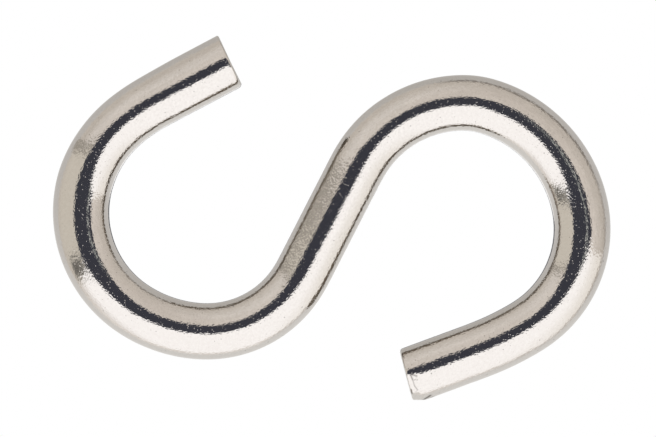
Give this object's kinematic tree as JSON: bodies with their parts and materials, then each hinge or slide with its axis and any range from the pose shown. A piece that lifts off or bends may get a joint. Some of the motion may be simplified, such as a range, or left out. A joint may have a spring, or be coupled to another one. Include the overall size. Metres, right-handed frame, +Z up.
{
  "type": "s hook",
  "caption": "Open S-shaped hook bent from a thick round steel bar with blunt sheared ends; the upper bend hangs over a rail and the lower bend carries the load.",
  "frame": {"origin": "rail seat: the inside of the top of the upper bend, where the hook rests on its rail", "axes": "+Z up, as the hook hangs, from the load seat to the rail seat; the bar is bent in the XZ plane; +X towards the side of the upper tip; Y through the bar's thickness"},
  "size_m": [0.0503, 0.008, 0.08],
  "materials": {
    "bright_steel": "bright plated or polished bar steel, warm grey, with small dents, drawing lines and hairline scratches"
  },
  "bodies": {
    "root": {"hook_rod": "bright_steel"}
  },
  "joints": []
}
